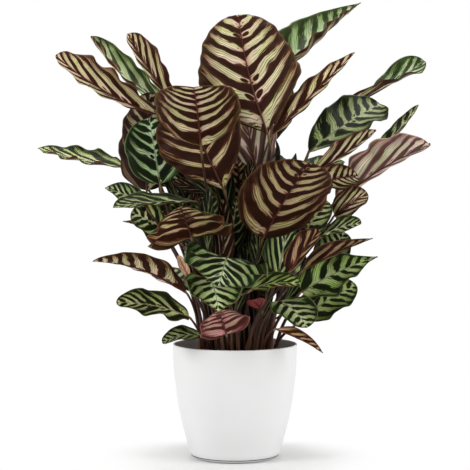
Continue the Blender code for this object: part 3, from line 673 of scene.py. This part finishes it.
def midribOf(leaf):
    base, tip = np.array(leaf.base, float) * mm, np.array(leaf.tip, float) * mm
    chord = tip - base
    face = np.array(leaf.face, float)
    face = unit(face - unit(chord) * (face @ unit(chord)))
    lift = (face * leaf.arch + np.cross(unit(chord), face) * leaf.sway) * mm
    lift = lift * 4 / 3  # the curve's middle lies 3/4 as far out as its two middle control points
    return [base, base + chord / 3 + lift, base + 2 * chord / 3 + lift, tip], face


def halfWidth(leaf, s):  # (1 - x ** bend) ** power on both sides of the belly, with a bend and power for each
    bend, power, end = (np.interp(leaf.sharp, blade["tipKinds"], form) for form in blade["tipForms"])
    baseBend, basePower = (np.interp(leaf.wedge, (0, 1), form) for form in blade["baseForms"])
    rising = (1 - np.clip((leaf.belly - s) / leaf.belly, 0, 1) ** baseBend) ** basePower
    falling = (1 - np.clip((s - leaf.belly) / (1 - leaf.belly), 0, 1) ** bend) ** power
    ends = blade["baseHalfWidth"] * (1 - s) + end * s
    return np.maximum(ends, np.where(s < leaf.belly, rising, falling) * leaf.width / 2 * mm)


def ribFrame(leaf, s):  # the midrib's place, its way ahead, and the blade's side and up at each s
    controls, face = midribOf(leaf)
    place, ahead = curve(controls, s)
    axis = unit(controls[3] - controls[0])
    angle = np.radians(leaf.twist) * (s - 0.5)[:, None]
    along = axis * (axis @ face)
    face = along + (face - along) * np.cos(angle) + np.cross(axis, face) * np.sin(angle)
    side = unit(np.cross(ahead, face))
    return place, ahead, side, np.cross(side, ahead)


def fullFinish(leaf):
    length = np.linalg.norm(np.subtract(leaf.tip, leaf.base)) * mm
    stations = int(np.clip(round(length / blade["stationGap"]), *blade["stations"]))
    return finish(stations, blade["across"], *stalk["finish"])


def stripePhases(leaf, name, s, away, width, length, number):
    # A vein leaves the midrib at a slant and bends towards the tip as it nears the edge, so the place on the
    # midrib that a point's vein comes from is s minus slope times distance minus bend times distance cubed.
    # Stripes are counted along the midrib and crowd towards the tip, and each half starts its count at a
    # place of its own.
    b = blade
    roll = np.random.default_rng(number + b["seed"])
    count = stripeCounts.get(name, b["fewestStripes"] + b["stripesPerMetre"] * length)
    count = count * roll.uniform(*b["countSpread"])
    offsets = roll.uniform(0, 1, 2)
    half = leaf.width / 2 * mm
    squareSlope, gain, *limits = b["veinSlope"]
    slope = veinSlopes.get(name, np.clip(squareSlope + gain * (length / half / 2 - 1), *limits))
    distance = away * width / half
    origin = s - half / length * (slope * distance + veinBends.get(name, b["veinBend"]) * distance**3)
    crowded = (origin + b["crowdToTip"] * origin * np.abs(origin)) / (1 + b["crowdToTip"])
    return [crowded * count + offset for offset in offsets]


def bladeSheets(leaf, name, number, made):
    # The point at (s, v) lies width * sin(curl v) / curl beside the midrib and
    # width * (1 - cos(curl v)) / curl above it, moved along the sheet's normal by waves and ripples that grow
    # towards the edge and by a small pleat along each vein. The under side is the same sheet moved back by
    # the blade's thickness.
    b = blade
    length = np.linalg.norm(np.subtract(leaf.tip, leaf.base)) * mm
    even = np.linspace(0, 1, made.stations + 1)
    s = even * (1 - b["endCrowding"]) + (1 - np.cos(math.pi * even)) / 2 * b["endCrowding"]
    u = np.linspace(-1, 1, made.across)
    v = (np.sign(u) * np.abs(u) ** b["acrossPower"])[None, :]
    place, ahead, side, up = (x[:, None, :] for x in ribFrame(leaf, s))
    width = halfWidth(leaf, s)[:, None]
    s = s[:, None]
    away = np.abs(v)
    curl = math.radians(leaf.curl)
    bend = curl * away
    out = width * np.sin(bend) / curl * np.sign(v)
    rise = width * (1 - np.cos(bend)) / curl
    normal = up * np.cos(bend)[:, :, None] - side * (np.sign(v) * np.sin(bend))[:, :, None]
    phases = stripePhases(leaf, name, s, away, width, length, number)
    waves = 2 * math.pi * length * s
    wave = np.sin(waves / b["waveLength"] + b["waveStep"] * number + b["waveSlant"] * v)
    wave = b["waveHeight"] * waviness.get(name, 1) * wave
    ripple = np.sin(waves / b["rippleLength"] + b["rippleStep"] * number + b["rippleSlant"] * v)
    ripple = b["rippleHeight"] * ripple * away
    rising, power, fullWidth = b["pleatFade"]
    pleat = np.sin(2 * math.pi * b["pleatsPerStripe"] * np.where(v < 0, *phases)) * (1 - away**power)
    pleat = b["pleatHeight"] * pleat * np.minimum(1, rising * away) * np.minimum(1, width / fullWidth)
    lift = width * v * v * (wave + ripple) + pleat
    upper = place + side * out[:, :, None] + up * rise[:, :, None] + normal * lift[:, :, None]
    marks = [np.broadcast_to(x, lift.shape) for x in (*phases, v, s, away * width)]
    return upper, upper - normal * b["thick"], marks


def bladeFaces(rows, columns):  # quads of the upper sheet, the under sheet and the rim, each turned outwards
    upper = gridFaces(rows, columns)
    lower = gridFaces(rows, columns, rows * columns)[:, ::-1]
    top = np.arange(rows * columns).reshape(rows, columns)
    under = top + rows * columns
    strips = ((top[:, 0], under[:, 0]), (under[:, -1], top[:, -1]), (top[-1], under[-1]), (under[0], top[0]))
    rims = [np.stack([a[:-1], a[1:], b[1:], b[:-1]], axis=1) for a, b in strips]
    return upper, np.concatenate([lower, *rims])


def stalkTube(leaf, name, root, made):
    # A tube from the soil to the blade and on under its midrib. Its radius follows a profile in which 0 is
    # the soil, 1 the blade and 2 the tip, and its lower part has three shallow flutes.
    k = stalk
    base = np.array(leaf.base, float) * mm
    foot = np.array([root[0], root[1], soil["top"]])
    reach = np.linalg.norm(base - foot)
    vertical = np.array([0, 0, 1.0])
    firstAhead, firstSide = (x[0] for x in ribFrame(leaf, np.array([0.0]))[1:3])
    runIn = unit(firstAhead + k["steep"].get(name, k["runInLift"]) * vertical)
    controls = [foot, foot + vertical * k["rise"] * reach, base - runIn * k["runIn"] * reach,
                base - firstAhead * k["endGap"]]
    t = np.linspace(0, 1, made.steps + 1)
    place, slope = curve(controls, t)
    s = np.linspace(k["ribStart"], k["ribEnd"], made.ribSteps) ** k["ribCrowding"]
    ribPlace, ribAhead, ribSide, ribUp = ribFrame(leaf, s)
    level = np.concatenate([[-k["ribStart"]], t, 1 + s])
    radius = np.interp(level, *zip(*k["radius"]))
    soon, depth = k["ribSunk"]
    sunk = np.clip(s * soon, 0, 1) * (radius[-len(s):] + depth)
    ribPlace = ribPlace - ribUp * sunk[:, None]
    centre = np.concatenate([[foot - vertical * k["rootDepth"]], place, ribPlace])
    ahead = np.concatenate([[vertical], slope, ribAhead])
    side = np.concatenate([np.repeat(firstSide[None, :], len(t) + 1, axis=0), ribSide])
    side = unit(side - ahead * (side * ahead).sum(axis=1, keepdims=True))
    over = np.cross(side, ahead)
    turn = 2 * math.pi * np.arange(made.sides) / made.sides
    flutes, deep, end = k["flutes"]
    flute = 1 + deep * np.cos(flutes * turn)[None, :] * np.clip(end - level, 0, 1)[:, None]
    ring = (radius[:, None] * flute)[:, :, None]
    turn = turn[None, :, None]
    points = centre[:, None, :] + ring * (side[:, None, :] * np.cos(turn) + over[:, None, :] * np.sin(turn))
    return points, level, turn.ravel()


def leafParts(leaf, name, number, root, toneAndShade, bars, made):
    # points, then faces of the upper side, the under side with the rim, the stalk and its ends, then UV maps
    upper, lower, marks = bladeSheets(leaf, name, number, made)
    rows, columns = upper.shape[:2]
    tube, level, turn = stalkTube(leaf, name, root, made)
    rings, sides = tube.shape[:2]
    count = rows * columns
    top, under = bladeFaces(rows, columns)
    stem = tubeFaces(rings, sides, 2 * count)
    ends = 2 * count + np.stack([np.arange(sides)[::-1], np.arange(sides) + (rings - 1) * sides])
    points = np.concatenate([upper.reshape(-1, 3), lower.reshape(-1, 3), tube.reshape(-1, 3)])
    # each half has stripes of its own, so a corner on the midrib takes the phase of its face's half
    quads = np.concatenate([top, under])
    left, right, across, along, distance = (np.tile(m.ravel(), 2)[quads] for m in marks)
    phase = np.where(across.mean(axis=1, keepdims=True) < 0, left, right)
    onStalk = np.concatenate([stem.ravel(), ends.ravel()]) - 2 * count
    stalkPairs = np.stack([np.repeat(level, sides), np.sin(np.tile(turn, rings))], axis=1)[onStalk]
    maps = {
        "veins": np.concatenate([np.stack([phase.ravel(), across.ravel()], axis=1), stalkPairs]),
        "place": np.concatenate([np.stack([along.ravel(), distance.ravel()], axis=1), stalkPairs]),
        "toneAndShade": np.tile(toneAndShade, (quads.size + len(onStalk), 1)),
        "habit": np.tile((bars, number), (quads.size + len(onStalk), 1)),
    }
    return points, [top, under, stem, ends], maps


def buildLeaf(name, leaf, number, root):
    roll = np.random.default_rng(number)
    toneAndShade = tonesAndShade.get(name, (roll.uniform(*usual["brightness"]), roll.uniform(*usual["warmth"])))
    bars = barWidths.get(name, roll.uniform(*usual["bars"]))
    points, faces, maps = leafParts(leaf, name, number, root, toneAndShade, bars, fullFinish(leaf))
    materials = [leafMaterials[side] for side in finishes.get(name, ("green", "purple"))]
    piece = buildMesh("calathea_" + name, points, faces, [*materials, stalkMaterial], [0, 1, 2, 2], maps)
    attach(piece, "root")
    return piece


roots = rootPlaces()
for number, ((name, leaf), root) in enumerate(zip(leaves.items(), roots)):
    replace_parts(buildLeaf(name, leaf, number, root), "leaf_" + name)
extras = {  # leaves with no CAD part of their own, and a dry sheath among the stalks
    "bright_right": leafShape((97, -58, 326), (130, -52, 373), (-0.3, -0.9, 0.3), 50, 4, 25, 0),
    "sheath": leafShape((-66, -72, 268), (-80, -74, 297), (0.1, -0.9, 0.2), 15, 2, 70, 0),
}
extraRoots = [np.array(leaf.base[:2]) * mm / 2 for leaf in extras.values()]
for number, ((name, leaf), root) in enumerate(zip(extras.items(), extraRoots), len(leaves)):
    buildLeaf(name, leaf, number, root)
print("leaves made:", len(leaves) + len(extras))


# Inner leaves: the small ones that fill the clump. A seeded draw puts each one somewhere inside the clump's
# outline, and it stays only where its blade crosses no other leaf.

inner = {
    "count": 98,
    "tries": 5000,
    "seed": 5,
    "baseHeight": (195, 430),
    "spread": (0.02, 0.8),
    "length": (58, 115),
    "slender": (0.3, 0.52),
    "lift": (0, 85),
    "heading": 0.7,
    "faceOut": (0.4, 1.0),
    "faceUp": (0.1, 0.9),
    "arch": (2, 12),
    "curl": (18, 60),
    "belly": (0.36, 0.6),
    "sharp": (0, 0.7),
    "underShare": 0.35,
    # inner leaves are kept dark: painted shade of the clump's inside
    "brightness": (0.32, 0.62),
    "warmth": (-0.4, 0.6),
    "bars": (0.12, 0.36),
    "rootCircle": 52 * mm,
    "made": finish(26, 15, 6, 12, 10),
    "rough": finish(12, 7, 4, 8, 4),
    # the clump's outline: height, how far its middle lies to the right and to the back, and half its width
    # and depth
    "clump": [(165, 0, 0, 52, 50), (210, 8, 0, 72, 62), (250, 14, 0, 90, 76), (285, 12, 0, 102, 92),
              (330, 5, 0, 114, 112), (380, 2, 8, 126, 112), (420, -8, 28, 122, 94), (455, -25, 36, 98, 75),
              (520, -40, 40, 60, 50), (560, -40, 40, 20, 20)],
}


def roughMesh(leaf, name, number, root):  # few points and faces, only for finding what crosses
    points, faces, maps = leafParts(leaf, name, number, root, (1, 0), 0, inner["rough"])
    return points, faces[0].tolist(), faces[2].tolist()


def clumpAt(height):
    level, *columns = zip(*inner["clump"])
    return [np.interp(height, level, column) for column in columns]


def drawInnerLeaf(roll):
    n = inner
    angle = roll.uniform(0, 2 * math.pi)
    height = roll.uniform(*n["baseHeight"])
    right, back, wide, deep = clumpAt(height)
    reach = math.sqrt(roll.uniform(*n["spread"]))
    base = np.array([right + wide * reach * math.cos(angle), back + deep * reach * math.sin(angle), height])
    heading = angle + roll.normal(0, n["heading"])
    lift = math.radians(roll.uniform(*n["lift"]))
    length = roll.uniform(*n["length"])
    way = np.array([math.cos(heading) * math.cos(lift), math.sin(heading) * math.cos(lift), math.sin(lift)])
    outward = np.array([math.cos(angle), math.sin(angle), 0.0])
    turned = -1 if roll.uniform() < n["underShare"] else 1
    face = outward * turned * roll.uniform(*n["faceOut"]) + [0, 0, roll.uniform(*n["faceUp"])]
    tip = base + way * length
    width = length * roll.uniform(*n["slender"])
    arch, curl, belly, sharp = (roll.uniform(*n[key]) for key in ("arch", "curl", "belly", "sharp"))
    return leafShape(tuple(base), tuple(tip), tuple(face), width, arch, curl, 0, belly, sharp)


def insideClump(points):
    x, y, z = points.T / mm
    right, back, wide, deep = clumpAt(z)
    within = ((x - right) / wide) ** 2 + ((y - back) / deep) ** 2 < 1
    return bool(np.all(within) and z.min() > inner["clump"][0][0] and z.max() < inner["clump"][-1][0])


def joinRough(meshes):
    points, polygons, start = [], [], 0
    for corners, blades, stems in meshes:
        points.append(corners)
        polygons += [[start + i for i in face] for face in blades + stems]
        start += len(corners)
    return BVHTree.FromPolygons(np.concatenate(points).tolist(), polygons)


def growInnerLeaves():
    roll = np.random.default_rng(inner["seed"])
    rows, places = {**leaves, **extras}, [*roots, *extraRoots]
    standing = [roughMesh(leaf, name, number, root)
                for number, ((name, leaf), root) in enumerate(zip(rows.items(), places))]
    tree = joinRough(standing)
    grown = []
    for _ in range(inner["tries"]):
        leaf = drawInnerLeaf(roll)
        if len(grown) == inner["count"]:
            break
        number = len(rows) + len(grown)
        turn = number * math.pi * (3 - math.sqrt(5))  # the golden angle spreads the stalks' feet evenly
        outward = inner["rootCircle"] * math.sqrt((len(grown) + 0.5) / inner["count"])
        root = outward * np.array([math.cos(turn), math.sin(turn)])
        points, blades, stems = roughMesh(leaf, "inner", number, root)
        bladeCount = 2 * (inner["rough"].stations + 1) * inner["rough"].across
        if not insideClump(points[:bladeCount]):
            continue
        if tree.overlap(BVHTree.FromPolygons(points.tolist(), blades)):
            continue
        grown.append((leaf, number, root))
        standing.append((points, blades, []))
        tree = joinRough(standing)
    return grown


def buildInnerLeaves():
    roll = np.random.default_rng(inner["seed"] + 1)
    points, faces, slots, start = [], [], [], 0
    maps = {"veins": [], "place": [], "toneAndShade": [], "habit": []}
    for leaf, number, root in growInnerLeaves():
        toneAndShade = (roll.uniform(*inner["brightness"]), roll.uniform(*inner["warmth"]))
        bars = roll.uniform(*inner["bars"])
        corners, parts, pairs = leafParts(leaf, "inner", number, root, toneAndShade, bars, inner["made"])
        faces += [part + start for part in parts]
        slots += [0, 1, 2, 2]
        points.append(corners)
        start += len(corners)
        for label in maps:
            maps[label].append(pairs[label])
    materials = [leafMaterials["green"], leafMaterials["purple"], stalkMaterial]
    maps = {label: np.concatenate(pairs) for label, pairs in maps.items()}
    piece = buildMesh("inner_leaves", np.concatenate(points), faces, materials, slots, maps)
    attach(piece, "root")
    print("inner leaves made:", len(slots) // 4)


buildInnerLeaves()


# Pot: one closed profile carried round the axis, with a rolled lip and a rounded foot

potLook = {
    "colour": (0.73, 0.73, 0.73),
    "fineNoise": (1800.0, 2.0),
    "broadNoise": (14.0, 3.0),
    "shade": (0.06, 0.97),
    "rough": (0.08, 0.42),
    "gloss": 0.5,
    "bump": (0.2, 0.05 * mm),
}


def potProfile():
    shares, radii = zip(*reversed(pot["side"]))
    footShare, footWide = pot["side"][-1]
    turn = np.linspace(0, math.pi / 2, pot["roundSteps"])
    foot = np.stack([pot["footRadius"] + (footWide - pot["footRadius"]) * np.sin(turn),
                     footShare * pot["height"] * (1 - np.cos(turn))], axis=1)
    lipTurn = np.linspace(0, math.pi, pot["roundSteps"])
    lip = pot["wall"] / 2
    rim = pot["height"] - lip
    share = np.linspace(footShare, rim / pot["height"], pot["sideSteps"])[1:-1]
    side = np.stack([np.interp(share, shares, radii), share * pot["height"]], axis=1)
    rimRadius = pot["side"][0][1] - lip
    lipLine = np.stack([rimRadius + lip * np.cos(lipTurn), rim + lip * np.sin(lipTurn)], axis=1)
    inside = side[::-1] - [pot["wall"], 0]
    floor = [(inside[-1][0] - inset, pot["floor"] + up) for inset, up in pot["fillet"]]
    return np.concatenate([foot, side, lipLine, inside, floor])


def latheMesh(name, profile, steps, material):
    # the profile's radius and height turned about Z, with a point on the axis to close each end
    turn = 2 * math.pi * np.arange(steps) / steps
    ring = np.stack([np.cos(turn), np.sin(turn)], axis=1)
    flat = profile[:, None, :1] * ring[None, :, :]
    heights = np.broadcast_to(profile[:, None, 1:], (len(profile), steps, 1))
    points = np.concatenate([flat, heights], axis=2).reshape(-1, 3)
    return closeRings(name, points, steps, (profile[0][1], profile[-1][1]), material)


def closeRings(name, points, steps, ends, material, outward=1):
    # rings of points, closed by fans round the axis
    rings = len(points) // steps
    around = np.arange(steps)
    after = (around + 1) % steps
    last = (rings - 1) * steps
    fans = np.concatenate([np.stack([after, around, np.full(steps, len(points))], axis=1),
                           np.stack([around + last, after + last, np.full(steps, len(points) + 1)], axis=1)])
    points = np.concatenate([points, [[0, 0, ends[0]], [0, 0, ends[1]]]])
    faces = [tubeFaces(rings, steps)[:, ::outward], fans[:, ::outward]]
    return buildMesh(name, points, faces, [material])


def makePotMaterial():
    material, tree, shader = newMaterial("white plastic")
    spots = putNode(tree, "TexCoord").outputs["Object"]
    fine, broad = (noise(tree, spots, *potLook[key]) for key in ("fineNoise", "broadNoise"))
    colour = shaded(tree, (*potLook["colour"], 1), timesPlus(tree, broad, *potLook["shade"]))
    rough = timesPlus(tree, broad, *potLook["rough"])
    dress(tree, shader, colour, rough, potLook["gloss"], (fine, *potLook["bump"]))
    return material


whitePot = latheMesh("white_pot", potProfile(), pot["steps"], makePotMaterial())
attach(whitePot, "root")
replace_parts(whitePot, "pot")
print("pot made")


# Potting mix: a disc of lumps over the CAD soil's outline

mix = {
    "rings": 60,
    "around": 220,
    "centre": 0.004,
    "lumps": 2.2 * mm,
    "lumpForce": 3,
    "sunk": 0.4,
    "waves": 36,
    "waveLength": (4 * mm, 40 * mm),
    "seed": 7,
    "skirt": (0.7, 0.45, 0.25),
    "skirtInset": 6 * mm,
    "grainNoise": (420.0, 4.0, 0.65),
    "broadNoise": (60.0, 3.0),
    "stops": [(0.3, (0.008, 0.005, 0.004)), (0.52, (0.032, 0.020, 0.013)), (0.68, (0.075, 0.045, 0.027)),
              (0.8, (0.16, 0.11, 0.07))],
    "shade": (0.9, 0.5),  # factor of the noise, and what is added
    "rough": 0.95,
    "gloss": 0.5,
    "bump": (0.9, 1.2 * mm),
}


def lumpy(x, y, roll):  # height of the surface: a sum of sines with random directions and lengths
    length = np.exp(roll.uniform(*np.log(mix["waveLength"]), mix["waves"]))
    heading, shift = roll.uniform(0, 2 * math.pi, (2, mix["waves"]))
    level = np.zeros_like(x)
    for size, way, start in zip(length, heading, shift):
        ahead = x * math.cos(way) + y * math.sin(way)
        level += np.sqrt(size) * np.sin(2 * math.pi * ahead / size + start)
    return level / np.sqrt(length).sum() * mix["lumpForce"]


def makeSoilMaterial():
    material, tree, shader = newMaterial("potting mix")
    spots = putNode(tree, "TexCoord").outputs["Object"]
    grain, broad = (noise(tree, spots, *mix[key]) for key in ("grainNoise", "broadNoise"))
    colour = shaded(tree, ramp(tree, grain, mix["stops"]), timesPlus(tree, broad, *mix["shade"]))
    dress(tree, shader, colour, mix["rough"], mix["gloss"], (grain, *mix["bump"]))
    return material


def buildSoil(material):
    shares, radii = zip(*reversed(pot["side"]))
    steps, gap = mix["around"], pot["wall"] + soil["touchGap"]
    turn = 2 * math.pi * np.arange(steps) / steps
    radius = np.interp(soil["top"] / pot["height"], shares, radii) - gap
    radius = radius * np.linspace(mix["centre"], 1, mix["rings"])
    x, y = radius[:, None] * np.cos(turn), radius[:, None] * np.sin(turn)
    z = soil["top"] + mix["lumps"] * (lumpy(x, y, np.random.default_rng(mix["seed"])) - mix["sunk"])
    heights = np.array([soil["top"] * share for share in mix["skirt"]] + [pot["floor"] + soil["touchGap"]])
    skirt = np.interp(heights / pot["height"], shares, radii) - gap
    skirt[-1] = skirt[-2] - mix["skirtInset"]
    wall = [skirt[:, None] * np.cos(turn), skirt[:, None] * np.sin(turn),
            np.repeat(heights[:, None], steps, axis=1)]
    points = np.stack([np.concatenate(pair) for pair in zip((x, y, z), wall)], axis=-1).reshape(-1, 3)
    return closeRings("potting_mix", points, steps, (z[0].mean(), heights[-1]), material, -1)


pottingMix = buildSoil(makeSoilMaterial())
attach(pottingMix, "root")
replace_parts(pottingMix, "soil")
print("potting mix made")


# Studio: white surroundings, soft boxes left and right, a floor that fades to white, and the camera at the
# photograph's angle

studio = {
    "cameraPlace": (0.0, -2.5, 0.45),
    "cameraAim": (0.0, 0.0, 0.322),
    "lens": 133.0,
    "sensor": 36.0,
    "floorSize": 12.0,
    "floorColour": 0.89,
    # the floor glows white from the first distance from the pot's axis outwards, fully by the second: painted
    # light that fades the pot's shadow into the white around it
    "fadeToWhite": (0.09, 0.225),
    "surroundings": 0.41,
    # place, watts and width
    "softBoxes": [((-2.2, -1.2, 1.2), 42.0, 1.6), ((2.2, -1.2, 1.2), 42.0, 1.6),
                  ((0.0, 0.5, 2.6), 60.0, 1.6)],
}


def aimAt(thing, target):
    way = Vector(target) - thing.location
    thing.rotation_euler = way.to_track_quat("-Z", "Y").to_euler()


def buildCamera():
    data = bpy.data.cameras.new("camera")
    data.lens, data.sensor_width = studio["lens"], studio["sensor"]
    camera = bpy.data.objects.new("camera", data)
    camera.location = studio["cameraPlace"]
    aimAt(camera, studio["cameraAim"])
    scene.collection.objects.link(camera)
    scene.camera = camera


def buildLights():
    for number, (place, force, wide) in enumerate(studio["softBoxes"]):
        data = bpy.data.lights.new(f"soft box {number}", "AREA")
        data.energy, data.size = force, wide
        light = bpy.data.objects.new(f"soft box {number}", data)
        light.location = place
        aimAt(light, studio["cameraAim"])
        scene.collection.objects.link(light)
    # the camera sees pure white, while the leaves are lit by a weaker one
    world = bpy.data.worlds.new("white")
    world.use_nodes = True
    tree = world.node_tree
    seen = putNode(tree, "LightPath").outputs["Is Camera Ray"]
    force = timesPlus(tree, seen, 1.0 - studio["surroundings"], studio["surroundings"])
    sky = tree.nodes["Background"].inputs
    sky["Color"].default_value = (1, 1, 1, 1)
    tree.links.new(force, sky["Strength"])
    scene.world = world
    scene.view_settings.view_transform = "Standard"


def buildFloor():
    material, tree, shader = newMaterial("floor")
    spots = putNode(tree, "TexCoord").outputs["Object"]
    distance = putNode(tree, "VectorMath", {0: spots}, operation="LENGTH").outputs["Value"]
    glow = smooth(tree, distance, *studio["fadeToWhite"])
    shade = timesPlus(tree, glow, -studio["floorColour"], studio["floorColour"])
    tree.links.new(joinXyz(tree, shade, shade, shade), shader["Base Color"])
    tree.links.new(joinXyz(tree, glow, glow, glow), shader["Emission Color"])
    shader["Emission Strength"].default_value = 1.0
    shader["Specular IOR Level"].default_value = 0.0
    shader["Roughness"].default_value = 0.9
    half = studio["floorSize"] / 2
    corners = np.array([[-half, -half, 0], [half, -half, 0], [half, half, 0], [-half, half, 0]])
    buildMesh("floor", corners, [np.array([[0, 1, 2, 3]])], [material])


buildCamera()
buildLights()
buildFloor()
print("studio made")
